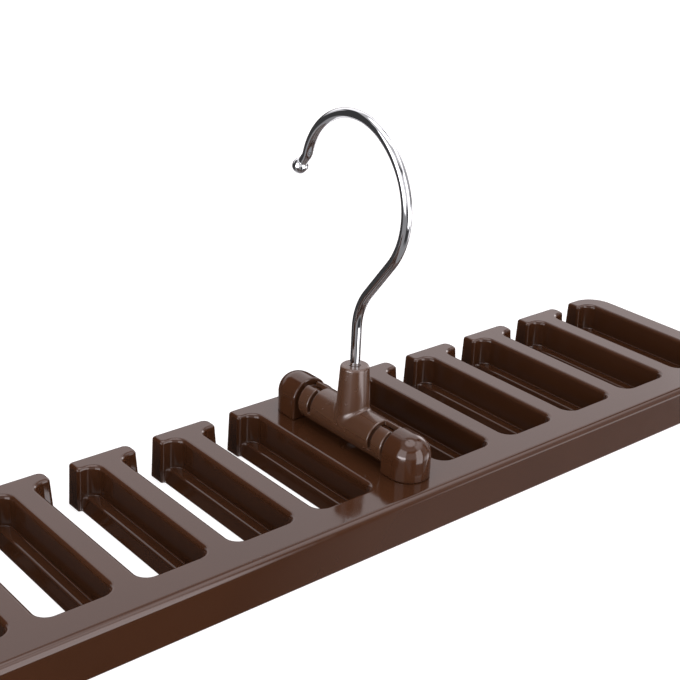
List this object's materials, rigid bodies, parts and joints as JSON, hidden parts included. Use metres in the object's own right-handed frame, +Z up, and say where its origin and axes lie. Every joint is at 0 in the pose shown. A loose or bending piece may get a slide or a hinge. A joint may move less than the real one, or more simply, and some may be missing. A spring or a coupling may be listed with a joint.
{
  "type": "tie hanger",
  "caption": "Folding tie hanger: a comb-shaped rack with open-ended slots on both sides of a folding hinge that carries a swivelling wire hook.",
  "frame": {"origin": "centre of the flat underside, under the middle of the hinge", "axes": "+X along the rack, +Y towards the open slot mouths (the front rail is on -Y), +Z up out of the rack's top face"},
  "size_m": [0.3616, 0.087, 0.1336],
  "materials": {
    "brown_plastic": "glossy moulded plastic",
    "chrome_wire": "bright chrome plate",
    "plated_washer": "dull zinc plate"
  },
  "bodies": {
    "base": {"rack": "brown_plastic", "front_post": "brown_plastic", "rear_post": "brown_plastic"},
    "tee": {"swivel_tee": "brown_plastic"},
    "hook": {"hook_wire": "chrome_wire", "tip_ball": "chrome_wire", "retaining_washer": "plated_washer"}
  },
  "joints": [
    {"name": "hook_fold", "type": "hinge", "parent": "base", "child": "tee", "pos_m": [0, 0, 0.023], "axis": [0, 1, 0], "range_deg": [-70, 70]},
    {"name": "hook_swivel", "type": "hinge", "parent": "tee", "child": "hook", "pos_m": [0, 0, 0.045], "axis": [0, 0, 1], "continuous": true}
  ]
}
